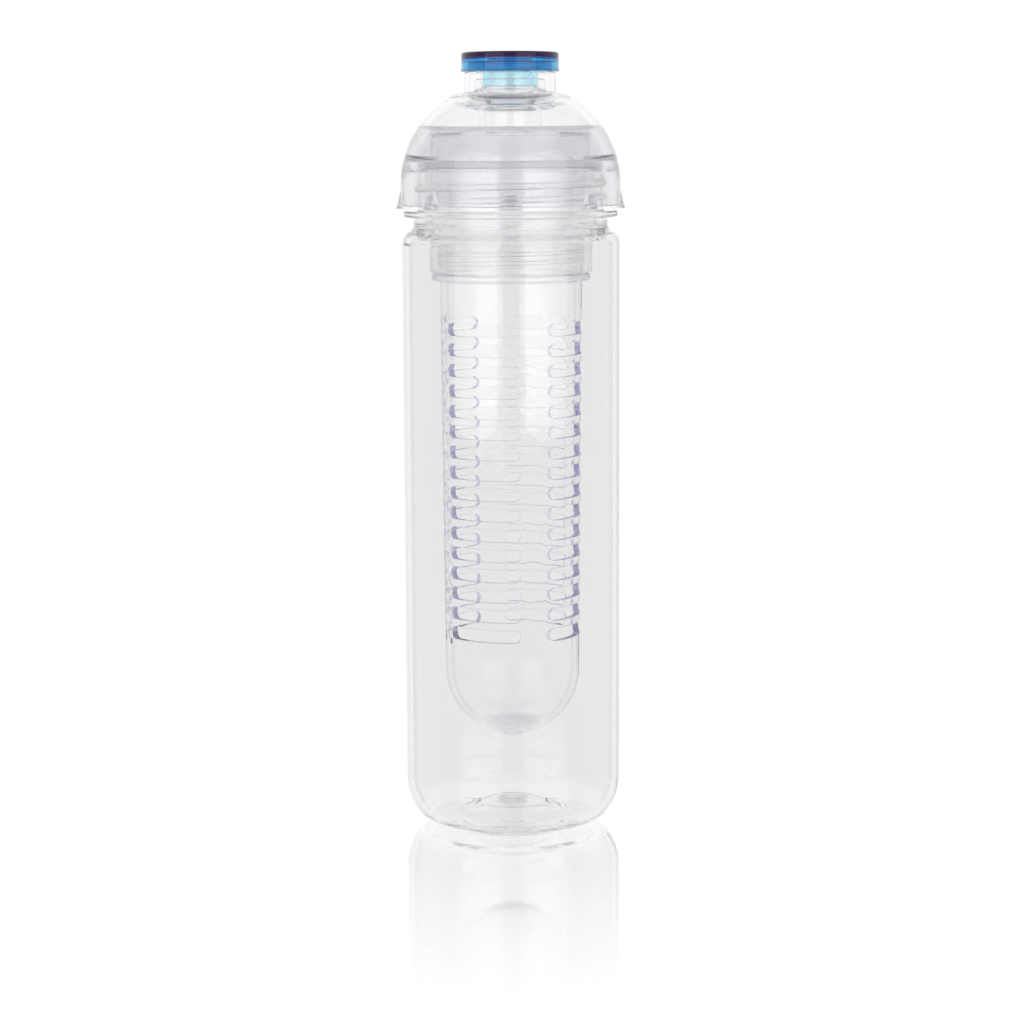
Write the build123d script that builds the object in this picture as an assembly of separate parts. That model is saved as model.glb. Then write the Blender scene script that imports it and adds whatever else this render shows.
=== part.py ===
from build123d import *
import os
from math import acos, asin, cos, degrees, radians, sin, sqrt

# A clear drinking bottle with a fruit infuser basket hung from its domed screw lid.
# Millimetres. +Z is up, and the origin is the middle of the base, on the surface it stands on.

os.makedirs("parts", exist_ok=True)

# Clearances
run_gap = 0.3  # between faces of bodies that move past each other
seat_gap = 0.3  # under a shoulder that rests on another piece
fit_gap = 0.25  # between pieces fixed in each other
cut_over = 2.0  # how far a cut runs past the wall

# Bottle body: blown wall, moulded neck
body_r = 35.5
body_wall = 2.0
base_wall = 2.5
heel_inset = 5.1
heel_width = 9.4
stand_width = 3.0
heel_height = 2.8
heel_round = 6.0
heel_top = 9.0
heel_top_round = 17.0
pushup_height = 5.0
pushup_flat_share = 0.38  # of the standing ring's radius
pushup_round = 10.0
pushup_gate_r = 4.2
pushup_gate_height = 0.7
pushup_gate_round = 0.3
shoulder_height = 194.8
shoulder_rise = 3.2
shoulder_round = 5.0
neck_step = 1.35
neck_length = 3.35
ring_inset = 0.9
ring_thick = 1.95
ring_round = 0.6
finish_wall = 2.25
finish_height = 13.7
lip_round = 0.5
neck_round = 1.0

# Screw threads, which stand this far off the walls that carry them
finish_thread = 1.2
collar_thread = 0.6

# Gasket between the bottle's lip and the lid
gasket_thick = 1.8

# Lid insert, the milky inner part of the lid that both threads are on
insert_wall = 1.5
insert_thread_wall = 1.6
insert_thread_gap = 1.6
insert_skirt_gap = 1.5
insert_skirt_wall = 2.0
insert_skirt_drop = 35.5
insert_web = 1.6
insert_slope_rise = 3.2
insert_edge_round = 0.4
baffle_gap = 1.2
deck_overhang = 1.4
deck_thick = 1.6

# Dome lid, the clear outer part
dome_proud = 0.3
dome_wall = 2.2
dome_ring_gap = 0.8
dome_skirt_height = 7.3
crown_centre_r = 2.4
crown_break_angle = 54.0
brow_radius = 16.0

# Spout, from its bore outwards
spout_bore_r = 9.5
spout_wall = 2.0
groove_width = 1.9
spout_ring_wall = 1.5
spout_ring_rise = 6.47
groove_sink = 3.3
spout_funnel_rise = 4.3
spout_foot_wall = 1.7
spout_foot_round = 1.2
spout_top_gap = 2.2
spout_seat_depth = 6.3
seat_ledge = 0.9
throat_wall = 1.7
spout_round = 0.6

# Grip fins round the dome's skirt
fin_count = 8
fin_height = 6.2
fin_reach = 1.35
fin_foot_width = 7.5
fin_foot_ridge = 3.0
fin_head_width = 4.0
fin_head_sink = 0.15

# Infuser basket
basket_wall = 2.0
basket_taper = 1.0
basket_floor_gap = 22.3
flange_inset = 0.45
flange_thick = 2.1
flange_round = 0.8
collar_height = 10.75
collar_step = 0.3
collar_round = 0.5
slot_pitch = 6.63
slot_height = 4.2
slot_top_drop = 13.2
slot_end_gap = 9.0
slot_wide_web = 25.2  # degrees, centred on the mould's parting plane
slot_narrow_web = 19.2
parting_angle = -70.4  # degrees round from +X
gate_r = 2.9
gate_height = 0.4

# Cap: skirt, sleeve, top disc and stopper
cap_overhang = 0.9
cap_height = 4.2
cap_wall = 1.95
cap_roof = 1.3
cap_lip = 0.2
cap_lip_height = 0.6
sleeve_gap = 0.6
sleeve_wall = 1.5
sleeve_drop = 4.9
disc_edge = 1.75
disc_crown = 0.25
disc_round = 0.65
stopper_fit = 0.05
stopper_floor = 1.6
stopper_spigot = 4.5
stopper_wall = 1.45
stopper_round = 0.4

# Radii of the base, worked in from the body's wall
heel_r = body_r - heel_inset
stand_r = heel_r - heel_width
pushup_flat_r = stand_r * pushup_flat_share

# Radii of the lid and the neck: each piece is as wide as the one round it lets it be
dome_r = body_r + dome_proud
insert_outer_r = dome_r - dome_wall - fit_gap
thread_bore_r = insert_outer_r - insert_thread_wall
finish_r = thread_bore_r - run_gap - finish_thread
finish_bore_r = finish_r - finish_wall
neck_r = finish_r + neck_step
ring_r = dome_r - ring_inset
insert_skirt_r = finish_bore_r - insert_skirt_gap
insert_bore_r = insert_skirt_r - insert_skirt_wall
baffle_r = insert_bore_r + insert_wall
deck_r = baffle_r + deck_overhang

# Radii of the basket, which hangs from the thread inside the lid insert
collar_r = insert_bore_r - run_gap - collar_thread
flange_r = insert_skirt_r - flange_inset
basket_r = collar_r - collar_step
basket_end_r = basket_r - basket_taper

# Radii of the spout and the cap, worked out from the spout's bore
spout_r = spout_bore_r + spout_wall
ring_bore_r = spout_r + groove_width
spout_ring_r = ring_bore_r + spout_ring_wall
throat_bore_r = spout_bore_r - seat_ledge
throat_r = throat_bore_r + throat_wall
cap_r = spout_ring_r + cap_overhang
sleeve_r = spout_bore_r - sleeve_gap
stopper_r = spout_bore_r - fit_gap

# Heights worked up from the base
floor_top = pushup_height + base_wall
shoulder_top = shoulder_height + shoulder_rise
ring_bottom = shoulder_top + neck_length
ring_top = ring_bottom + ring_thick
lip_top = ring_top + finish_height
web_bottom = lip_top + gasket_thick
web_top = web_bottom + insert_web
skirt_end = web_bottom - insert_skirt_drop
dome_bottom = ring_top + dome_ring_gap
spring_height = dome_bottom + dome_skirt_height

# The dome's two arcs: a crown from the skirt up, and a flatter brow that runs to the spout ring
crown_radius = dome_r - crown_centre_r
brow_centre_r = crown_centre_r + (crown_radius - brow_radius) * cos(radians(crown_break_angle))
brow_centre_z = spring_height + (crown_radius - brow_radius) * sin(radians(crown_break_angle))


def brow_z(r, inset=0):
    """Height of the brow at radius r, on the face that lies inset below the outer one."""
    return brow_centre_z + sqrt((brow_radius - inset) ** 2 - (r - brow_centre_r) ** 2)


def crown_z(r, inset):
    """Height of the crown at radius r, on the face that lies inset below the outer one."""
    return spring_height + sqrt((crown_radius - inset) ** 2 - (r - crown_centre_r) ** 2)


def crown_arc(inset, low, high):
    """The crown's arc from one height to another, on the face that lies inset below the outer one."""
    radius = crown_radius - inset
    start, end = (degrees(asin((z - spring_height) / radius)) for z in (low, high))
    return CenterArc((crown_centre_r, spring_height), radius, start, end - start)


# The lid insert's wall follows the dome, and its deck lies as high as the dome has room for it
insert_inset = dome_wall + fit_gap
deck_top = crown_z(deck_r, insert_inset)
deck_bottom = deck_top - deck_thick
baffle_top = deck_bottom - baffle_gap

# Spout and cap heights, from the top of the dome
dome_top = brow_z(spout_ring_r)
spout_ring_top = dome_top + spout_ring_rise
groove_floor = dome_top - groove_sink
spout_top = spout_ring_top - spout_top_gap
funnel_top = groove_floor + spout_funnel_rise
stopper_seat = spout_top - spout_seat_depth
cap_bottom = spout_ring_top + seat_gap
cap_top = cap_bottom + cap_height
sleeve_end = cap_bottom - sleeve_drop

# Basket heights: hung from the lid's inner skirt, and ending clear of the bottle's floor
flange_top = skirt_end - seat_gap
flange_bottom = flange_top - flange_thick
collar_top = flange_top + collar_height
basket_bottom = floor_top + basket_floor_gap
bowl_centre = basket_bottom + basket_end_r

# As many rows of slots as the tube has room for above its round bottom
slot_zone_top = flange_bottom - slot_top_drop
slot_web = slot_pitch - slot_height
slot_rows = int((slot_zone_top - bowl_centre - slot_end_gap + slot_web) / slot_pitch)


def spun(outline):
    """Spin a closed outline, drawn as (radius, height), round the bottle's axis."""
    return revolve(Plane.XZ * make_face(outline), Axis.Z)


def turned(*corners):
    """Spin a closed outline of straight sides, each corner given as (radius, height, rounding)."""
    points = [(r, z) for r, z, rounding in corners]
    return spun(FilletPolyline(*points, radius=[rounding for r, z, rounding in corners], close=True))


def make_bottle_body():
    """The clear bottle: pushed-up base, straight wall, shoulder, carrying ring and threaded finish."""
    inner_r = body_r - body_wall
    floor_r = stand_r - stand_width / 2
    return turned(
        (0, pushup_height - pushup_gate_height, 0),
        (pushup_gate_r, pushup_height - pushup_gate_height, pushup_gate_round),
        (pushup_gate_r, pushup_height, pushup_gate_round),
        (pushup_flat_r, pushup_height, pushup_round),
        (stand_r - stand_width, 0, 0),
        (stand_r, 0, heel_round),
        (heel_r, heel_height, heel_round),
        (body_r, heel_top, heel_top_round),
        (body_r, shoulder_height, shoulder_round),
        (neck_r, shoulder_top, neck_round),
        (neck_r, ring_bottom, lip_round),
        (ring_r, ring_bottom, ring_round),
        (ring_r, ring_top, ring_round),
        (finish_r, ring_top, lip_round),
        (finish_r, lip_top, lip_round),
        (finish_bore_r, lip_top, lip_round),
        (finish_bore_r, shoulder_top, shoulder_round),
        (inner_r, shoulder_height - body_wall / 2, shoulder_round - body_wall),
        (inner_r, heel_top + body_wall / 2, heel_top_round - body_wall),
        (heel_r - body_wall / 2, heel_height + body_wall, heel_round - body_wall),
        (floor_r, base_wall, heel_round),
        (pushup_flat_r, floor_top, pushup_round),
        (0, floor_top, 0),
    )


def make_lid_gasket():
    """Flat silicone ring that lies on the bottle's lip, under the web of the lid insert."""
    gasket_bore_r = insert_skirt_r + insert_edge_round + fit_gap
    return turned(
        (gasket_bore_r, lip_top, 0),
        (finish_r, lip_top, lip_round),
        (finish_r, web_bottom, lip_round),
        (gasket_bore_r, web_bottom, 0),
    )


def make_lid_insert():
    """Skirts for both threads, a web over the bottle's lip, a wall that follows the dome, deck and baffle."""
    thread_end = ring_top + insert_thread_gap
    outer_wall = crown_arc(insert_inset, spring_height, deck_top)
    inner_wall = crown_arc(insert_inset + insert_wall, web_top, deck_bottom)
    deck = FilletPolyline(
        outer_wall @ 1,
        (throat_bore_r, deck_top),
        (throat_bore_r, deck_bottom),
        inner_wall @ 1,
        radius=insert_edge_round,
    )
    below = FilletPolyline(
        inner_wall @ 0,
        (baffle_r, web_top),
        (baffle_r, baffle_top),
        (insert_bore_r, baffle_top),
        (insert_bore_r, skirt_end),
        (insert_skirt_r, skirt_end),
        (insert_skirt_r, web_bottom),
        (finish_r + run_gap, web_bottom),
        (thread_bore_r, web_bottom - insert_slope_rise),
        (thread_bore_r, thread_end),
        (insert_outer_r, thread_end),
        outer_wall @ 0,
        radius=insert_edge_round,
    )
    return spun([outer_wall, deck, inner_wall, below])


def dome_face(inset, end_r):
    """The dome's skirt, crown and brow on the face inset by a wall, and the point where they end."""
    face_r = dome_r - inset
    skirt = Line((face_r, dome_bottom), (face_r, spring_height))
    crown = CenterArc((crown_centre_r, spring_height), crown_radius - inset, 0, crown_break_angle)
    end_angle = degrees(acos((end_r - brow_centre_r) / (brow_radius - inset)))
    brow = CenterArc(
        (brow_centre_r, brow_centre_z),
        brow_radius - inset,
        crown_break_angle,
        end_angle - crown_break_angle,
    )
    return [skirt, crown, brow], (end_r, brow_z(end_r, inset))


def make_fin():
    """One grip fin on the dome's skirt: flush at its head, proud at its foot."""
    root_r = dome_r - dome_wall / 2
    foot = Polyline(
        (root_r, -fin_foot_width / 2),
        (dome_r, -fin_foot_width / 2),
        (dome_r + fin_reach, -fin_foot_ridge / 2),
        (dome_r + fin_reach, fin_foot_ridge / 2),
        (dome_r, fin_foot_width / 2),
        (root_r, fin_foot_width / 2),
        close=True,
    )
    head_r = dome_r - fin_head_sink
    head = Polyline(
        (root_r, -fin_head_width / 2),
        (head_r - fin_head_sink, -fin_head_width / 2),
        (head_r, -fin_foot_ridge / 2),
        (head_r, fin_foot_ridge / 2),
        (head_r - fin_head_sink, fin_head_width / 2),
        (root_r, fin_head_width / 2),
        close=True,
    )
    foot_face = Pos(0, 0, dome_bottom) * make_face(foot)
    head_face = Pos(0, 0, dome_bottom + fin_height) * make_face(head)
    return loft([foot_face, head_face], ruled=True)


def make_dome_lid():
    """Clear dome with its spout: outer ring, groove, funnel, spout tube, and foot and throat below."""
    outer, outer_end = dome_face(0, spout_ring_r)
    spout_foot_r = ring_bore_r + spout_foot_wall
    spout_foot_z = groove_floor - spout_foot_wall
    inner, inner_end = dome_face(dome_wall, spout_foot_r)
    corners = [
        (spout_ring_r, spout_ring_top, spout_round),
        (ring_bore_r, spout_ring_top, spout_round),
        (ring_bore_r, groove_floor, spout_round),
        (spout_r, funnel_top, spout_round),
        (spout_r, spout_top, spout_round),
        (spout_bore_r, spout_top, spout_round),
        (spout_bore_r, stopper_seat, 0),
        (throat_bore_r, stopper_seat, 0),
        (throat_bore_r, deck_top, 0),
        (throat_r, deck_top, 0),
        (throat_r, spout_foot_z, spout_round),
        (spout_foot_r, spout_foot_z, spout_foot_round),
    ]
    spout = FilletPolyline(
        outer_end,
        *[(r, z) for r, z, rounding in corners],
        inner_end,
        radius=[rounding for r, z, rounding in corners],
    )
    foot = Line((dome_r, dome_bottom), (dome_r - dome_wall, dome_bottom))
    shell = spun([*outer, spout, *inner, foot])
    fin = make_fin()
    return shell + [Rot(0, 0, 360 / fin_count * i) * fin for i in range(fin_count)]


def make_slot_cutter():
    """One basket slot at height zero: a band round the wall with a half-round end at each side."""
    inner_r = basket_end_r - basket_wall - cut_over
    outer_r = basket_r + cut_over
    depth = outer_r - inner_r
    middle_r = (inner_r + outer_r) / 2
    end_turn = degrees(asin(slot_height / 2 / basket_end_r))
    start = slot_wide_web / 2 + end_turn
    sweep_angle = 90 - slot_wide_web / 2 - slot_narrow_web / 2 - 2 * end_turn
    band = revolve(Plane.XZ * Pos(middle_r, 0) * Rectangle(depth, slot_height), Axis.Z, sweep_angle)
    end = Pos(middle_r, 0, 0) * Rot(0, 90, 0) * Cylinder(slot_height / 2, depth)
    return Rot(0, 0, start) * (band + end + Rot(0, 0, sweep_angle) * end)


def make_infuser_basket():
    """Slotted basket: threaded collar, flange, tapered tube, round bottom and four columns of slots."""
    bore_r = basket_end_r - basket_wall
    bowl = CenterArc((0, bowl_centre), basket_end_r, -90, 90)
    bowl_inside = CenterArc((0, bowl_centre), bore_r, -90, 90)
    wall = FilletPolyline(
        (basket_end_r, bowl_centre),
        (basket_r, flange_bottom),
        (flange_r, flange_bottom),
        (flange_r, flange_top),
        (collar_r, flange_top),
        (collar_r, collar_top),
        (collar_r - basket_wall, collar_top),
        (bore_r, bowl_centre),
        radius=[collar_round, flange_round, flange_round, collar_round, collar_round, collar_round],
    )
    pole = Line((0, basket_bottom), (0, basket_bottom + basket_wall))
    tube = spun([bowl, wall, bowl_inside, pole])
    gate = Pos(0, 0, basket_bottom - gate_height) * Cylinder(
        gate_r, gate_height + basket_wall, align=(Align.CENTER, Align.CENTER, Align.MIN)
    )
    slot = make_slot_cutter()
    slot_pair = [slot, mirror(slot, Plane.YZ)]
    first_row = slot_zone_top - slot_height / 2
    slots = [
        Pos(0, 0, first_row - row * slot_pitch) * Rot(0, 0, parting_angle + half_turn) * cutter
        for row in range(slot_rows)
        for half_turn in (0, 180)
        for cutter in slot_pair
    ]
    return tube + gate - slots


def make_cap_body():
    """Blue cap: skirt, roof and the sleeve that goes down into the spout."""
    skirt_bore_r = cap_r - cap_wall
    return turned(
        (sleeve_r - sleeve_wall, sleeve_end, 0),
        (sleeve_r, sleeve_end, cap_lip),
        (sleeve_r, cap_top - cap_roof, cap_lip),
        (skirt_bore_r, cap_top - cap_roof, cap_lip),
        (skirt_bore_r, cap_bottom, cap_lip),
        (cap_r + cap_lip, cap_bottom, 0),
        (cap_r + cap_lip, cap_bottom + cap_lip_height, 0),
        (cap_r, cap_bottom + cap_lip_height + cap_lip, 0),
        (cap_r, cap_top, 0),
        (sleeve_r - sleeve_wall, cap_top, 0),
    )


def make_cap_top_disc():
    """Dark disc welded on the cap, with a slightly domed top."""
    crown = TangentArc((0, cap_top + disc_edge + disc_crown), (cap_r, cap_top + disc_edge), tangent=(1, 0))
    sides = Polyline(
        (cap_r, cap_top + disc_edge),
        (cap_r, cap_top),
        (0, cap_top),
        (0, cap_top + disc_edge + disc_crown),
    )
    half = make_face([crown, sides])
    rim = max(half.vertices(), key=lambda corner: (corner.X, corner.Y))
    return spun(fillet(rim, disc_round).wires())


def make_cap_stopper():
    """Soft stopper on the sleeve's end, which seals on the step in the spout."""
    spigot_r = sleeve_r - sleeve_wall - stopper_fit
    stopper_bottom = stopper_seat + seat_gap
    return turned(
        (0, stopper_bottom, 0),
        (stopper_r, stopper_bottom, stopper_round),
        (stopper_r, sleeve_end, stopper_round),
        (spigot_r, sleeve_end, 0),
        (spigot_r, sleeve_end + stopper_spigot, stopper_round),
        (spigot_r - stopper_wall, sleeve_end + stopper_spigot, stopper_round),
        (spigot_r - stopper_wall, stopper_bottom + stopper_floor, stopper_round),
        (0, stopper_bottom + stopper_floor, 0),
    )


nodes = {
    "bottle_body": make_bottle_body(),
    "lid_gasket": make_lid_gasket(),
    "lid_insert": make_lid_insert(),
    "dome_lid": make_dome_lid(),
    "infuser_basket": make_infuser_basket(),
    "cap_body": make_cap_body(),
    "cap_top_disc": make_cap_top_disc(),
    "cap_stopper": make_cap_stopper(),
}

for name, solid in nodes.items():
    export_step(solid, f"parts/{name}.step")

heights = {
    "lip_top": lip_top,
    "deck_top": deck_top,
    "dome_top": dome_top,
    "spout_ring_top": spout_ring_top,
    "cap_top": cap_top + disc_edge + disc_crown,
    "flange_top": flange_top,
    "basket_bottom": basket_bottom,
    "stopper_seat": stopper_seat,
}
for name, height in heights.items():
    print(f"{name} {height:.2f} mm")
print(f"{slot_rows} rows of slots")
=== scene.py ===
# %% [markdown]
# # A clear bottle on a white sweep
# The object is a drinking bottle of clear plastic with a domed screw lid. A slotted basket for
# fruit hangs inside it, and a small blue cap closes the spout. Its shapes come ready from the
# model. This lesson gives them their plastics, with the faint ripple that moulding leaves, adds
# the screw threads, and sets up the light, which matters most: clear plastic has almost no colour
# of its own, so what it bends and mirrors is what the eye sees.

# %% Load the model
import bpy
from math import cos, pi, radians, sin
from mathutils import Euler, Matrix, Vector


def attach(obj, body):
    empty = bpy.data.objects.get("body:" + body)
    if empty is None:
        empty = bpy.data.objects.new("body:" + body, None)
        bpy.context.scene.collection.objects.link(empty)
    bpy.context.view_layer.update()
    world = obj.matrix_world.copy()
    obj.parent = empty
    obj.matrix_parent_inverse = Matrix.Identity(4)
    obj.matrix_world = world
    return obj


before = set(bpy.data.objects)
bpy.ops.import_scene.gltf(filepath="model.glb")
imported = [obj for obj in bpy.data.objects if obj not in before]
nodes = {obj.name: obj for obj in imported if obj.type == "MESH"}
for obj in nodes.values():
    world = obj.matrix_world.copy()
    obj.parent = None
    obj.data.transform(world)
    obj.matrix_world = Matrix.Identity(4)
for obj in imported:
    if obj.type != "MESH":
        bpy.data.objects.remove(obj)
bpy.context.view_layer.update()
MM = 0.001
scene = bpy.context.scene
print("pieces:", ", ".join(sorted(nodes)))

# %% [markdown]
# ## Camera
# The photograph was taken with a long lens from a little above the middle of the bottle: the
# cap's top is seen nearly edge on, and the base as a shallow curve. A long lens far away keeps
# the sides almost parallel, where a short one close by would bulge them. Both could frame the
# bottle alike, so the curves of the base and the lid's foot decide how high and how far off the
# camera stands.

# %% Camera
camera_distance = 0.850
camera_height = 0.2228
camera_tilt = radians(7.95)
camera_roll = radians(-0.25)
camera_lens = 91.1

camera_data = bpy.data.cameras.new("camera")
camera_data.lens = camera_lens
camera_data.sensor_width = 36.0
camera_data.clip_start = 0.01
camera_data.clip_end = 50.0
camera = bpy.data.objects.new("camera", camera_data)
camera.location = (0, -camera_distance, camera_height)
aim = Euler((pi / 2 - camera_tilt, 0, 0)).to_matrix()
camera.rotation_euler = (aim @ Euler((0, 0, camera_roll)).to_matrix()).to_euler()
scene.collection.objects.link(camera)
scene.camera = camera
print("camera", [round(v, 4) for v in camera.location], "lens", camera_data.lens)

# %% [markdown]
# ## Node helpers
# A material is a graph of small nodes. A few helpers keep the cells below short: the first adds
# a node and sets its values, and the others add the nodes for one sum, one ramp or one mix, or
# for one step with a vector. A value that is the same all over a surface is set on the shader's
# own socket, and only what changes over the surface comes from other nodes.

# %% Node helpers
def add(tree, kind, links=None, **values):
    """Add a node, set its properties and its inputs' values, and link inputs to other outputs."""
    node = tree.nodes.new(kind)
    for name, value in values.items():
        setattr(node, name, value)
    for socket, source in (links or {}).items():
        if hasattr(source, "is_output"):
            tree.links.new(source, node.inputs[socket])
        else:
            node.inputs[socket].default_value = source
    return node


def calculator(tree):
    """A function that adds a Math node to this tree and returns its result."""
    def math(operation, a, b=0.0):
        return add(tree, "ShaderNodeMath", {0: a, 1: b}, operation=operation).outputs[0]
    return math


def ramp(tree, value, start, end, low=0.0, high=1.0, smooth=False):
    """A number that goes from low to high as the value goes from start to end."""
    shape = "SMOOTHSTEP" if smooth else "LINEAR"
    return add(tree, "ShaderNodeMapRange", {"Value": value, 1: start, 2: end, 3: low, 4: high},
               interpolation_type=shape).outputs[0]


def blend(tree, share, first, second):
    """A number that goes from the first to the second as the share goes from 0 to 1."""
    return add(tree, "ShaderNodeMix", {0: share, 2: first, 3: second},
               data_type="FLOAT").outputs[0]


print("node helpers ready")

# %% Vector helpers
def flat_part(tree, vector):
    """The level part of a vector, without its height."""
    return add(tree, "ShaderNodeVectorMath", {0: vector, 1: (1, 1, 0)},
               operation="MULTIPLY").outputs[0]


def one_long(tree, vector):
    """The direction of a vector, with a length of 1."""
    return add(tree, "ShaderNodeVectorMath", {0: vector}, operation="NORMALIZE").outputs[0]


def length_of(tree, vector):
    """The length of a vector."""
    return add(tree, "ShaderNodeVectorMath", {0: vector}, operation="LENGTH").outputs["Value"]


def part_of(tree, vector, axis):
    """One of the three numbers of a vector."""
    return add(tree, "ShaderNodeSeparateXYZ", {0: vector}).outputs[axis]


print("vector helpers ready")

# %% [markdown]
# ## The white room
# The bottle was shot against white, and clear plastic shows what lies behind it, so the room
# has to be white in the picture, through the plastic and in its reflections. The light that
# falls on the bottle is another matter: if the whole room lit it at full strength, every pale
# surface would burn out. The Light Path node tells the two apart. Rays that look at the room
# see white, and the rays that only carry light see a quieter grey.
#
# A studio isn't white all round, though. The photographer's half is darker, and that is what
# gives clear plastic its soft grey: at each face a little of the white behind is lost and
# nothing as bright comes back. So in reflections the room has a dark half, up to a certain
# height, and its ceiling stays light.

# %% Helper: rays that look
def looking_rays(tree):
    """1 for rays that look at things, and 0 for rays that only carry light."""
    math = calculator(tree)
    path = add(tree, "ShaderNodeLightPath").outputs
    looking = math("MAXIMUM", path["Is Camera Ray"], path["Is Glossy Ray"])
    return math("MAXIMUM", looking, path["Is Transmission Ray"])


print("helper looking_rays ready")

# %% World
room_light = 0.62
dark_half = 0.8
dark_half_width = 92.0  # degrees to each side of the camera
dark_fade = 8.0
dark_low = 20.0  # degrees above the floor where the dark half begins to fade
dark_high = 50.0
ceiling = 0.94

world = bpy.data.worlds.new("white_room")
scene.world = world
world.use_nodes = True
room = world.node_tree
room.nodes.clear()
math = calculator(room)
direction = add(room, "ShaderNodeTexCoord").outputs["Generated"]
heading = one_long(room, flat_part(room, direction))
camera_side = ramp(room, part_of(room, heading, "Y"), -cos(radians(dark_half_width)),
                   -cos(radians(dark_half_width - dark_fade)), smooth=True)
lower_part = ramp(room, part_of(room, direction, "Z"), sin(radians(dark_high)),
                  sin(radians(dark_low)), smooth=True)
dark_place = math("MULTIPLY", camera_side, lower_part)
top_level = ramp(room, lower_part, 0.0, 1.0, ceiling, 1.0)
mirrored_level = blend(room, dark_place, top_level, dark_half)
glossy_ray = add(room, "ShaderNodeLightPath").outputs["Is Glossy Ray"]
mirrored = blend(room, glossy_ray, 1.0, mirrored_level)
strength = ramp(room, looking_rays(room), 0.0, 1.0, room_light, 1.0)
backdrop = add(room, "ShaderNodeBackground",
               {"Color": (1, 1, 1, 1), "Strength": math("MULTIPLY", strength, mirrored)})
add(room, "ShaderNodeOutputWorld", {"Surface": backdrop.outputs[0]})
print("room light", room_light, "dark half", dark_half)

# %% [markdown]
# ## Two tall softboxes
# The photograph shows two bright upright bands on the bottle and on the cap: the reflections of
# two tall softboxes, left and right of the camera. A rectangular area lamp is a softbox. Its
# brightness per square metre decides how strong the bands look, and its size and place decide
# how wide they are.

# %% Softboxes
softbox_distance = 1.15
softbox_lift = 0.32
softbox_aim = 0.14  # height on the bottle that the lamps face
softbox_height = 1.3
softbox_width = 1.02
softbox_angle = 38.0
softbox_glow = 0.98  # radiance, where the room is 1


def softbox(name, angle, glow):
    """A tall lamp at an angle round from the camera's side, facing the bottle."""
    lamp_data = bpy.data.lights.new(name, "AREA")
    lamp_data.shape = "RECTANGLE"
    lamp_data.size = softbox_width
    lamp_data.size_y = softbox_height
    lamp_data.energy = glow * pi * softbox_width * softbox_height
    lamp = bpy.data.objects.new(name, lamp_data)
    lamp.location = (
        softbox_distance * sin(radians(angle)),
        -softbox_distance * cos(radians(angle)),
        softbox_lift,
    )
    toward = Vector((0, 0, softbox_aim)) - lamp.location
    lamp.rotation_euler = toward.to_track_quat("-Z", "Y").to_euler()
    scene.collection.objects.link(lamp)
    return lamp


for name, angle in (("softbox_left", -softbox_angle), ("softbox_right", softbox_angle)):
    lamp = softbox(name, angle, softbox_glow)
    print(name, round(lamp.data.energy, 2), "W")

# %% [markdown]
# ## Glossy white floor
# The bottle stands on a sheet of glossy white acrylic, which mirrors its lower part and fades
# out towards the edge of the picture. The floor is a wide disc. Its white comes from a glow
# that only looking rays see, its shadow from a plain diffuse layer, and its mirror from a
# glossy layer that weakens with the distance from the bottle.

# %% Floor sheet
floor_radius = 6.0
floor_corners = 96

floor_mesh = bpy.data.meshes.new("floor")
floor_mesh.from_pydata(
    [(floor_radius * cos(2 * pi * i / floor_corners),
      floor_radius * sin(2 * pi * i / floor_corners), 0) for i in range(floor_corners)],
    [],
    [tuple(range(floor_corners))],
)
floor = bpy.data.objects.new("floor", floor_mesh)
scene.collection.objects.link(floor)
print("floor radius", floor_radius, "m")

# %% Floor material
floor_glow = 0.91
floor_matt = 0.15
mirror_near = 0.02
mirror_far = 0.20
mirror_share = 0.86
mirror_rough = 0.05


def new_material(name):
    """A material with an empty node tree and its output."""
    material = bpy.data.materials.new(name)
    material.use_nodes = True
    tree = material.node_tree
    tree.nodes.clear()
    return material, tree, add(tree, "ShaderNodeOutputMaterial")


white_floor, tree, out = new_material("white_floor")
math = calculator(tree)
place = add(tree, "ShaderNodeTexCoord").outputs["Object"]
fade = ramp(tree, length_of(tree, place), mirror_near, mirror_far, mirror_share, 0.0)
matt = add(tree, "ShaderNodeBsdfDiffuse", {"Color": (floor_matt, floor_matt, floor_matt, 1)})
glow_strength = math("MULTIPLY", looking_rays(tree), floor_glow)
glow = add(tree, "ShaderNodeEmission", {"Color": (1, 1, 1, 1), "Strength": glow_strength})
sheet = add(tree, "ShaderNodeAddShader", {0: matt.outputs[0], 1: glow.outputs[0]})
mirror = add(tree, "ShaderNodeBsdfGlossy", {"Color": (1, 1, 1, 1), "Roughness": mirror_rough})
floor_mix = add(tree, "ShaderNodeMixShader", {0: fade, 1: sheet.outputs[0], 2: mirror.outputs[0]})
tree.links.new(floor_mix.outputs[0], out.inputs["Surface"])
floor_mesh.materials.append(white_floor)
print("material", white_floor.name)

# %% [markdown]
# ## Moulded skin, and where tints are painted
# Three effects come back in several plastics, so each is a node group that is built once. The
# first is the skin: a blown or moulded wall is glossy but never perfectly even, and a slow
# ripple in it bends what is seen through. The second is the cut edge: where a slot or an edge ends
# the wall, a darker violet tint is painted, a painted shade in place of the light that runs along
# inside the wall and comes out there. It is found from the way the surface faces: a wall faces
# straight out or in, and an end doesn't. The third is the outer zone, outside a radius or above a
# height, where a tint is painted: a grey painted shade on the bottle and the lid, and a deeper
# dye on the cap.

# %% Helper: place on a piece
end_from = 0.9  # how squarely a face points out or in where the end of a wall begins
end_full = 0.5


def place_of(tree):
    """Radius, height, outward direction and normal of the point being shaded, by name."""
    place = add(tree, "ShaderNodeTexCoord").outputs
    flat = flat_part(tree, place["Object"])
    return {
        "radius": length_of(tree, flat),
        "height": part_of(tree, place["Object"], "Z"),
        "outward": one_long(tree, flat),
        "normal": place["Normal"],
    }


def between(tree, value, low, high):
    """1 where a value lies between two limits, and 0 elsewhere."""
    math = calculator(tree)
    return math("MULTIPLY", math("GREATER_THAN", value, low), math("LESS_THAN", value, high))


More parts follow.
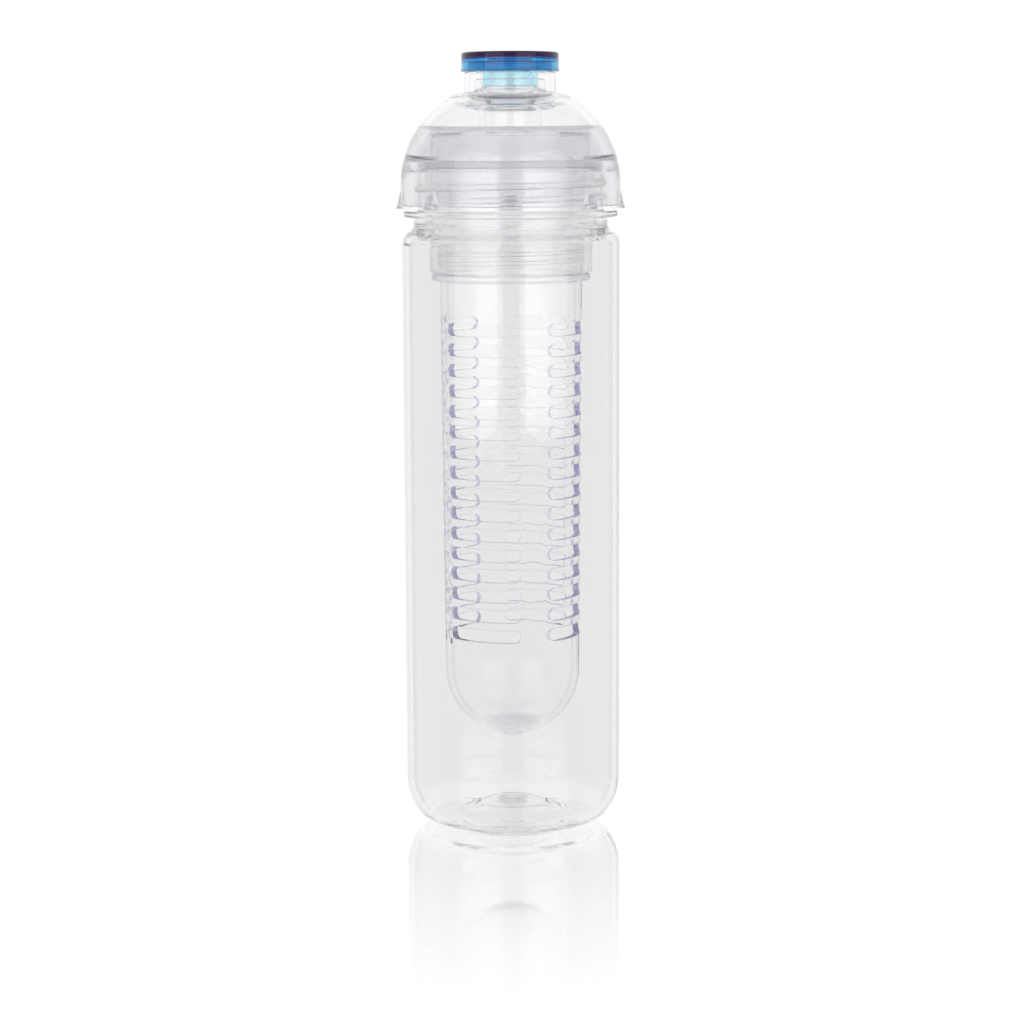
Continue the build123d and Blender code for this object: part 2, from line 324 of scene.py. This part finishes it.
def wall_end(tree, spot, most=1.0):
    """How much a face ends a round wall: 0 on the wall itself, and at most the given number."""
    facing = add(tree, "ShaderNodeVectorMath", {0: spot["normal"], 1: spot["outward"]},
                 operation="DOT_PRODUCT")
    squarely = calculator(tree)("ABSOLUTE", facing.outputs["Value"])
    return ramp(tree, squarely, end_from, end_full, 0.0, most)


print("place helpers ready")

# %% Group: moulded skin
ripple_stretch = 0.35  # scale of the ripple along the height, where it is 1 across
grain_low = 0.4
grain_high = 0.7


def new_group(name, sizes, results):
    """A shader node group with named numbers as inputs and outputs, and its inputs."""
    group = bpy.data.node_groups.new(name, "ShaderNodeTree")
    face = group.interface
    for size, value in sizes.items():
        socket = face.new_socket(size, in_out="INPUT", socket_type="NodeSocketFloat")
        socket.default_value = value
    for result in results:
        face.new_socket(result, in_out="OUTPUT", socket_type="NodeSocketFloat")
    return group, add(group, "NodeGroupInput").outputs


def moulded_skin():
    """Roughness and height of a glossy moulded wall, from slow and fine noise on the piece."""
    sizes = {"Ripple Scale": 40.0, "Grain Scale": 900.0, "Smooth": 0.0, "Rough": 0.04}
    group, inputs = new_group("moulded_skin", sizes, ("Roughness", "Height"))
    place = add(group, "ShaderNodeTexCoord").outputs["Object"]
    stretch = add(group, "ShaderNodeMapping", {"Vector": place, "Scale": (1, 1, ripple_stretch)})
    ripple = add(group, "ShaderNodeTexNoise",
                 {"Vector": stretch.outputs[0], "Scale": inputs["Ripple Scale"], "Detail": 1.0})
    grain = add(group, "ShaderNodeTexNoise",
                {"Vector": place, "Scale": inputs["Grain Scale"], "Detail": 2.0})
    rough = ramp(group, grain.outputs["Fac"], grain_low, grain_high,
                 inputs["Smooth"], inputs["Rough"])
    add(group, "NodeGroupOutput", {"Roughness": rough, "Height": ripple.outputs["Fac"]})
    return group


skin_group = moulded_skin()
print("group", skin_group.name)

# %% Group: cut edge
# The mask marks where the basket's painted violet shade goes.
def cut_edge():
    """A mask of the faces that end a round wall, between two heights of the piece."""
    group, inputs = new_group("cut_edge", {"Low": 0.0, "High": 1.0}, ("Mask",))
    spot = place_of(group)
    zone = between(group, spot["height"], inputs["Low"], inputs["High"])
    mask = calculator(group)("MULTIPLY", wall_end(group, spot), zone)
    add(group, "NodeGroupOutput", {"Mask": mask})
    return group


edge_group = cut_edge()
print("group", edge_group.name)

# %% Group: outer zone
# The mask marks where a zone tint goes: a grey painted shade on the bottle and the lid, and a
# deeper dye on the cap.
def outer_zone():
    """A mask of the faces that lie outside a radius or above a height."""
    sizes = {"Radius": 0.012, "Height": 0.25, "Soft": 0.0002}
    group, inputs = new_group("outer_zone", sizes, ("Mask",))
    math = calculator(group)
    spot = place_of(group)
    begin = math("SUBTRACT", inputs["Radius"], inputs["Soft"])
    outside = ramp(group, spot["radius"], begin, inputs["Radius"])
    above = math("GREATER_THAN", spot["height"], inputs["Height"])
    add(group, "NodeGroupOutput", {"Mask": math("MAXIMUM", outside, above)})
    return group


zone_group = outer_zone()
print("group", zone_group.name)

# %% [markdown]
# ## Where plastic bends little
# Three places of a clear piece hardly bend the light in the photograph. Where the dome and the
# milky insert are moulded onto each other no air lies between them. Level plates that are seen
# edge on, and the ends of the basket's slots, show as soft lines and not as black ones. And a
# path tracer's glass would block the light of the lamps, so rays that only carry light pass
# straight through. Each of these gives a share, and the largest one mixes a plain see-through
# shader into the glass. The bond follows the dome's inner face, which is an arc round a centre
# near the axis. The share mixes two shaders, so its nodes go into each material's own tree and
# not into a group.

# %% Helper: see-through share
plate_from = 0.88  # how far up or down a face points where a level plate begins
plate_full = 0.97
slots_low = 62 * MM  # the basket's slots lie between these heights
slots_high = 169 * MM
bond_low = 204.95 * MM
bond_high = 229.7 * MM
bond_centre_r = 2.4 * MM
bond_spring = 211.4 * MM
dome_bond = ("LESS_THAN", 32.3 * MM)  # the dome's inner face is nearer to the arc's centre
insert_bond = ("GREATER_THAN", 30.2 * MM)  # and the insert's outer face is farther from it


def upward_share(tree, spot):
    """How far up or down a face points, from 0 on an upright face to 1 on a level one."""
    return calculator(tree)("ABSOLUTE", part_of(tree, spot["normal"], "Z"))


def see_through_share(tree, bond=None, plates=0.0, slot_ends=0.0):
    """The share of light that passes unbent, on plates, on slot ends and in the bond."""
    math = calculator(tree)
    spot = place_of(tree)
    path = add(tree, "ShaderNodeLightPath").outputs
    share = math("MAXIMUM", path["Is Shadow Ray"], path["Is Diffuse Ray"])
    if plates:
        level = ramp(tree, upward_share(tree, spot), plate_from, plate_full, 0.0, plates)
        share = math("MAXIMUM", share, level)
    if slot_ends:
        zone = between(tree, spot["height"], slots_low, slots_high)
        share = math("MAXIMUM", share, math("MULTIPLY", wall_end(tree, spot, slot_ends), zone))
    if bond:
        comparison, limit = bond
        across = math("SUBTRACT", spot["radius"], bond_centre_r)
        above = math("MAXIMUM", math("SUBTRACT", spot["height"], bond_spring), 0.0)
        squares = math("ADD", math("MULTIPLY", across, across), math("MULTIPLY", above, above))
        touching = math(comparison, math("SQRT", squares), limit)
        band = between(tree, spot["height"], bond_low, bond_high)
        share = math("MAXIMUM", share, math("MULTIPLY", touching, band))
    return share


print("bond from", round(bond_low / MM, 2), "to", round(bond_high / MM, 2), "mm")

# %% [markdown]
# ## Clear plastic
# The bottle, the dome and the basket are clear copolyester. The shader is a plain glass: full
# transmission, an index of refraction of about 1.5 and hardly any roughness. Two things could
# make it grey. A volume that drinks light for each millimetre is what real plastic has, but in
# thin walls it draws dark lines wherever light runs along inside them, so here it drinks very
# little. The grey comes from the faces instead: each one tints what passes, and a zone of the
# piece may have a tint of its own, which on the bottle, the lid and the basket is painted shade.
# Where an upright face is seen at a grazing angle, a darker tint is painted to draw the outline:
# a painted shade in place of the dark edge that a thick wall shows. Layer Weight finds those
# angles.

# %% Helpers: colour and body of a plastic
def blend_colours(tree, share, first, second):
    """A colour that goes from the first to the second as the share goes from 0 to 1."""
    first, second = (colour if hasattr(colour, "is_output") else (*colour, 1)
                     for colour in (first, second))
    return add(tree, "ShaderNodeMix", {0: share, 6: first, 7: second},
               data_type="RGBA").outputs[2]


def fill_plastic(tree, out, body, veil, share, drink, drink_keeps):
    """Mix a see-through share into the body's shader, and let the inside drink light."""
    see_through = add(tree, "ShaderNodeBsdfTransparent", {"Color": veil})
    mix = add(tree, "ShaderNodeMixShader", {0: share, 1: body, 2: see_through.outputs[0]})
    inside = add(tree, "ShaderNodeVolumeAbsorption",
                 {"Color": (*drink_keeps, 1), "Density": drink})
    tree.links.new(mix.outputs[0], out.inputs["Surface"])
    tree.links.new(inside.outputs[0], out.inputs["Volume"])


print("plastic helpers ready")

# %% Material helper: clear plastic
clear_ior = 1.5
ripple_depth = 1.0 * MM
painted_outline_from = 0.66  # Layer Weight facing where the painted outline shade begins
painted_outline_full = 0.82
upright_to = 0.5  # how far up or down a face points where the painted outline shade begins to fade
upright_none = 0.85


def clear_plastic(name, tint, painted_outline_shade, drink, drink_keeps, zone, zone_sizes, zone_dye_and_painted_shade,
                  ripple=0.05, rough=0.012, plates=0.0, slot_ends=0.0, bond=None):
    """Glass with a moulded skin, a zone of another tint and a painted darker outline shade."""
    material, tree, out = new_material(name)
    spot = place_of(tree)
    skin = add(tree, "ShaderNodeGroup", {"Rough": rough}, node_tree=skin_group).outputs
    mask = add(tree, "ShaderNodeGroup", zone_sizes, node_tree=zone).outputs["Mask"]
    colour = blend_colours(tree, mask, tint, zone_dye_and_painted_shade)
    # Painted shade: the base colour turns to the darker outline tint where an upright face is seen
    # at a grazing angle.
    grazing = add(tree, "ShaderNodeLayerWeight", {"Blend": 0.5}).outputs["Facing"]
    upright = ramp(tree, upward_share(tree, spot), upright_to, upright_none, 1.0, 0.0)
    painted_outline = calculator(tree)("MULTIPLY", ramp(tree, grazing, painted_outline_from, painted_outline_full), upright)
    bump = add(tree, "ShaderNodeBump",
               {"Height": skin["Height"], "Strength": ripple, "Distance": ripple_depth})
    glass = add(tree, "ShaderNodeBsdfPrincipled", {
        "Base Color": blend_colours(tree, painted_outline, colour, painted_outline_shade),
        "Roughness": skin["Roughness"],
        "IOR": clear_ior,
        "Transmission Weight": 1.0,
        "Normal": bump.outputs[0],
    })
    share = see_through_share(tree, bond, plates, slot_ends)
    fill_plastic(tree, out, glass.outputs[0], colour, share, drink, drink_keeps)
    return material


print("helper clear_plastic ready")

# %% Materials: bottle, lid and basket
# Painted shade: the bottle's body faces, out from about 30 mm, get a grey zone tint that stands in
# for the light they lose.
clear_bottle = clear_plastic(
    "clear_bottle", tint=(0.985, 0.985, 0.985), painted_outline_shade=(0.62, 0.61, 0.6), drink=1.5,
    drink_keeps=(0.0, 0.0, 0.0), zone=zone_group,
    zone_sizes={"Radius": 33.4 * MM, "Height": 1.0, "Soft": 3.0 * MM},
    zone_dye_and_painted_shade=(0.885, 0.885, 0.882))
# Painted shade: the lid's faces beyond 36.1 mm get a darker grey zone tint that stands in for the
# light they lose.
clear_lid = clear_plastic(
    "clear_lid", tint=(0.98, 0.98, 0.98), painted_outline_shade=(0.76, 0.75, 0.76), drink=1.0,
    drink_keeps=(0.0, 0.0, 0.0), zone=zone_group,
    zone_sizes={"Radius": 36.1 * MM, "Height": 1.0},
    zone_dye_and_painted_shade=(0.62, 0.62, 0.66), plates=0.85, bond=dome_bond)
# Painted shade: the basket's slot ends get a darker violet zone tint, in place of the light that
# runs inside the wall and comes out there.
clear_basket = clear_plastic(
    "clear_basket", tint=(0.993, 0.993, 0.996), painted_outline_shade=(0.66, 0.65, 0.67), drink=3.0,
    drink_keeps=(0.0, 0.0, 0.1), zone=edge_group,
    zone_sizes={"Low": slots_low, "High": slots_high},
    zone_dye_and_painted_shade=(0.68, 0.68, 0.83), plates=0.5, slot_ends=0.6)
print("clear plastics:", clear_bottle.name, clear_lid.name, clear_basket.name)

# %% [markdown]
# ## Milky insert, silicone and stopper
# The lid's inner part is a clarified polypropylene: it lets the thread lines show through but
# scatters some light, so it looks a cool grey against the white. Mixing a little of a matt body
# into a rough glass gives that haze. The silicone ring is softer and cloudier, with more of the
# matt body, and the stopper is a clearer silicone.

# %% Material helper: milky plastic
milky_ripple = 0.08
rough_spread = 0.3  # how far the roughness strays to each side
cloud_scale = 55.0
cloud_keeps = 0.97
wall_r = 26.6 * MM  # the insert's outer wall begins here
wall_low = 219.5 * MM


def outer_wall(tree):
    """1 on the outer wall of the insert, and 0 elsewhere."""
    math = calculator(tree)
    spot = place_of(tree)
    return math("MULTIPLY", math("GREATER_THAN", spot["radius"], wall_r),
                math("GREATER_THAN", spot["height"], wall_low))


def milky_plastic(name, glass_tint, veil_tint, body_colour, haze, rough, ior, drink, drink_keeps,
                  plates=0.0, wall_haze=None, bond=None):
    """A rough glass with a share of matt body, which may be larger in an outer wall."""
    material, tree, out = new_material(name)
    roughs = {"Smooth": rough * (1 - rough_spread), "Rough": rough * (1 + rough_spread)}
    skin = add(tree, "ShaderNodeGroup", roughs, node_tree=skin_group).outputs
    bump = add(tree, "ShaderNodeBump",
               {"Height": skin["Height"], "Strength": milky_ripple, "Distance": ripple_depth})
    place = add(tree, "ShaderNodeTexCoord").outputs["Object"]
    cloud = add(tree, "ShaderNodeTexNoise", {"Vector": place, "Scale": cloud_scale, "Detail": 2.0})
    cloudy_tint = [value * cloud_keeps for value in glass_tint]
    surface = {"Roughness": skin["Roughness"], "IOR": ior, "Normal": bump.outputs[0]}
    glass = add(tree, "ShaderNodeBsdfPrincipled", {
        "Base Color": blend_colours(tree, cloud.outputs["Fac"], glass_tint, cloudy_tint),
        "Transmission Weight": 1.0,
        **surface,
    })
    matt = add(tree, "ShaderNodeBsdfPrincipled", {"Base Color": (*body_colour, 1), **surface})
    if wall_haze is not None:
        haze = ramp(tree, outer_wall(tree), 0.0, 1.0, haze, wall_haze)
    body = add(tree, "ShaderNodeMixShader", {0: haze, 1: glass.outputs[0], 2: matt.outputs[0]})
    share = see_through_share(tree, bond, plates)
    fill_plastic(tree, out, body.outputs[0], (*veil_tint, 1), share, drink, drink_keeps)
    return material


print("helper milky_plastic ready")

# %% Materials: insert, gasket and stopper
frosted_insert = milky_plastic(
    "frosted_insert", glass_tint=(0.996, 0.994, 1.0), veil_tint=(0.95, 0.943, 0.956),
    body_colour=(0.93, 0.92, 0.95), haze=0.03, rough=0.09, ior=clear_ior, drink=1.0,
    drink_keeps=(0.0, 0.0, 0.2), plates=0.75, wall_haze=0.12, bond=insert_bond)
silicone_ior = 1.41
silicone = milky_plastic(
    "silicone", glass_tint=(0.98, 0.98, 0.985), veil_tint=(0.95, 0.95, 0.955),
    body_colour=(0.92, 0.92, 0.93), haze=0.25, rough=0.2, ior=silicone_ior, drink=2.0,
    drink_keeps=(0.0, 0.0, 0.0), plates=0.75)
stopper_silicone = milky_plastic(
    "stopper_silicone", glass_tint=(0.98, 0.985, 0.99), veil_tint=(0.93, 0.96, 0.98),
    body_colour=(0.88, 0.90, 0.92), haze=0.04, rough=0.05, ior=silicone_ior, drink=2.0,
    drink_keeps=(0.0, 0.0, 0.1), plates=0.7)
print("cloudy plastics:", frosted_insert.name, silicone.name, stopper_silicone.name)

# %% [markdown]
# ## Blue cap and dark disc
# The cap is dyed a clear bright blue. The dye is in the plastic, so it is a volume that drinks
# red quickly, green slowly and blue hardly at all, which gives the sleeve that goes down into the
# spout its pale blue. The skirt and the roof are a much deeper azure in the photograph, so their
# faces carry a tint as well. The disc on top is so strongly dyed that it looks nearly black, with
# a violet cast where a softbox strikes it.

# %% Material: blue cap
blue_cap = clear_plastic(
    "blue_cap", tint=(0.97, 0.955, 0.985), painted_outline_shade=(0.3, 0.6, 0.85), drink=200.0,
    drink_keeps=(0.0, 0.88, 0.99), zone=zone_group,
    zone_sizes={"Radius": 12 * MM, "Height": 250.9 * MM},
    zone_dye_and_painted_shade=(0.1, 0.46, 0.71), ripple=0.04, rough=0.03, plates=0.5)
print("material", blue_cap.name)

# %% Material: dark disc
disc_ripple = 0.05
disc_dye = (0.008, 0.003, 0.034)
disc_dye_pale = (0.011, 0.005, 0.044)
dye_low = 0.35  # the ripple's height where the dye is the darker one
dye_high = 0.65

dark_disc, tree, out = new_material("dark_disc")
skin = add(tree, "ShaderNodeGroup", {"Smooth": 0.03, "Rough": 0.09},
           node_tree=skin_group).outputs
bump = add(tree, "ShaderNodeBump",
           {"Height": skin["Height"], "Strength": disc_ripple, "Distance": ripple_depth})
depth = ramp(tree, skin["Height"], dye_low, dye_high)
disc_shader = add(tree, "ShaderNodeBsdfPrincipled", {
    "Base Color": blend_colours(tree, depth, disc_dye, disc_dye_pale),
    "Roughness": skin["Roughness"],
    "IOR": clear_ior,
    "Normal": bump.outputs[0],
    "Specular IOR Level": 0.5,
    "Specular Tint": (0.9, 0.6, 1.0, 1),
})
tree.links.new(disc_shader.outputs[0], out.inputs["Surface"])
print("material", dark_disc.name)

# %% [markdown]
# ## Dressing the pieces
# Each piece of the model has one material slot, which is filled here. The model's own meshes are
# not touched.

# %% Assign the materials
dress = {
    "bottle_body": clear_bottle,
    "dome_lid": clear_lid,
    "infuser_basket": clear_basket,
    "lid_insert": frosted_insert,
    "lid_gasket": silicone,
    "cap_stopper": stopper_silicone,
    "cap_body": blue_cap,
    "cap_top_disc": dark_disc,
}
for name, material in dress.items():
    nodes[name].material_slots[0].material = material
    print(name, "wears", material.name)

# %% [markdown]
# ## Screw threads
# A thread is one ridge that follows a rising spiral and fades out at both ends. Modelling it turn
# by turn would be slow to change, so a Geometry Nodes tree makes it from a straight line: the
# line is cut into points, each point moves onto the spiral, and a small profile runs along it.
# The same tree makes the bottle's thread and the finer one on the basket's collar.

# %% Geometry Nodes: thread
tip_share = 0.08  # size of the profile at the very ends of a thread
profile_points = 14


def thread_tree():
    """A ridge along a rising spiral, with named inputs for its sizes."""
    tree = bpy.data.node_groups.new("thread", "GeometryNodeTree")
    face = tree.interface
    sizes = {"Radius": 0.03, "Depth": 0.001, "Half Width": 0.001, "Pitch": 0.004, "Turns": 1.5,
             "Start Height": 0.2, "Start Turn": 0.0, "Fade Share": 0.12}
    for size, value in sizes.items():
        socket = face.new_socket(size, in_out="INPUT", socket_type="NodeSocketFloat")
        socket.default_value = value
    face.new_socket("Points", in_out="INPUT", socket_type="NodeSocketInt").default_value = 160
    face.new_socket("Material", in_out="INPUT", socket_type="NodeSocketMaterial")
    face.new_socket("Geometry", in_out="OUTPUT", socket_type="NodeSocketGeometry")
    inputs = add(tree, "NodeGroupInput").outputs
    math = calculator(tree)

    line = add(tree, "GeometryNodeCurvePrimitiveLine").outputs[0]
    points = add(tree, "GeometryNodeResampleCurve", {"Curve": line, "Count": inputs["Points"]})
    along = add(tree, "GeometryNodeSplineParameter").outputs["Factor"]
    turns = math("MULTIPLY", along, inputs["Turns"])
    angle = math("MULTIPLY", math("ADD", turns, inputs["Start Turn"]), 2 * pi)
    rise = math("MULTIPLY", turns, inputs["Pitch"])
    spot = add(tree, "ShaderNodeCombineXYZ", {
        0: math("MULTIPLY", math("COSINE", angle), inputs["Radius"]),
        1: math("MULTIPLY", math("SINE", angle), inputs["Radius"]),
        2: math("ADD", rise, inputs["Start Height"]),
    })
    spiral = add(tree, "GeometryNodeSetPosition",
                 {"Geometry": points.outputs[0], "Position": spot.outputs[0]})
    upright = add(tree, "GeometryNodeSetCurveNormal", {"Curve": spiral.outputs[0]}, mode="Z_UP")
    near_end = math("MINIMUM", along, math("SUBTRACT", 1.0, along))
    fade = ramp(tree, near_end, 0.0, inputs["Fade Share"], tip_share, 1.0, smooth=True)

    ring = add(tree, "GeometryNodeCurvePrimitiveCircle",
               {"Resolution": profile_points, "Radius": 1.0})
    squash = add(tree, "ShaderNodeCombineXYZ",
                 {0: inputs["Depth"], 1: inputs["Half Width"], 2: 1.0})
    profile = add(tree, "GeometryNodeTransform",
                  {"Geometry": ring.outputs[0], "Scale": squash.outputs[0]})
    ridge = add(tree, "GeometryNodeCurveToMesh", {
        "Curve": upright.outputs[0],
        "Profile Curve": profile.outputs[0],
        "Scale": fade,
        "Fill Caps": True,
    })
    smooth = add(tree, "GeometryNodeSetShadeSmooth", {"Geometry": ridge.outputs[0]})
    real = add(tree, "GeometryNodeRealizeInstances", {"Geometry": smooth.outputs[0]})
    dressed = add(tree, "GeometryNodeSetMaterial",
                  {"Geometry": real.outputs[0], "Material": inputs["Material"]})
    add(tree, "NodeGroupOutput", {0: dressed.outputs[0]})
    return tree


thread_nodes = thread_tree()
print("tree", thread_nodes.name, "with", len(thread_nodes.nodes), "nodes")

# %% Helper: run a tree and keep a plain mesh
def grow(name, tree, values):
    """Run a Geometry Nodes tree with these inputs and return a plain object at the origin."""
    seed_mesh = bpy.data.meshes.new(name + "_seed")
    grower = bpy.data.objects.new(name + "_seed", seed_mesh)
    scene.collection.objects.link(grower)
    modifier = grower.modifiers.new("grow", "NODES")
    modifier.node_group = tree
    for item in tree.interface.items_tree:
        if item.item_type == "SOCKET" and item.in_out == "INPUT" and item.name in values:
            modifier[item.identifier] = values[item.name]
    view = bpy.context.evaluated_depsgraph_get()
    mesh = bpy.data.meshes.new_from_object(grower.evaluated_get(view))
    mesh.name = name
    grower.modifiers.remove(modifier)
    bpy.data.objects.remove(grower)
    piece = bpy.data.objects.new(name, mesh)
    scene.collection.objects.link(piece)
    print(name, len(mesh.polygons), "faces")
    return piece


def extent(piece):
    """Largest radius and the lowest and highest points of a piece, in mm."""
    radius = max((v.co.x ** 2 + v.co.y ** 2) ** 0.5 for v in piece.data.vertices)
    heights = [v.co.z for v in piece.data.vertices]
    return [round(value / MM, 2) for value in (radius, min(heights), max(heights))]


print("helper grow ready")

# %% Bottle thread and collar thread
bottle_thread = grow("bottle_thread", thread_nodes, {
    "Radius": 30.35 * MM, "Depth": 1.05 * MM, "Half Width": 1.1 * MM, "Pitch": 4.2 * MM,
    "Turns": 1.75, "Start Height": 206.6 * MM, "Start Turn": 0.62, "Fade Share": 0.05,
    "Points": 220, "Material": clear_bottle,
})
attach(bottle_thread, "bottle")

collar_thread = grow("collar_thread", thread_nodes, {
    "Radius": 23.6 * MM, "Depth": 0.5 * MM, "Half Width": 0.75 * MM, "Pitch": 2.8 * MM,
    "Turns": 2.25, "Start Height": 185.3 * MM, "Start Turn": 0.1, "Fade Share": 0.06,
    "Points": 260, "Material": clear_basket,
})
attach(collar_thread, "basket")
for piece in (bottle_thread, collar_thread):
    print(piece.name, "radius, low, high in mm:", extent(piece))

# %% [markdown]
# ## Light bounces
# A ray that goes through the dome, the insert, the neck and the basket, and out again on the far
# side, crosses more than twenty faces, and one that runs along inside a wall is mirrored there
# many times. Blender's usual limits would end them half way and leave dark lines, so the limits
# for glossy, transmitted and see-through paths are raised, and matt paths keep four bounces.

# %% Bounces
clear_bounces = 64
see_through_bounces = 40
matt_bounces = 4

scene.cycles.max_bounces = clear_bounces
scene.cycles.transmission_bounces = clear_bounces
scene.cycles.glossy_bounces = clear_bounces
scene.cycles.diffuse_bounces = matt_bounces
scene.cycles.transparent_max_bounces = see_through_bounces
scene.cycles.caustics_refractive = True
scene.cycles.caustics_reflective = True
scene.view_settings.view_transform = "Standard"
print("bounces", scene.cycles.max_bounces)
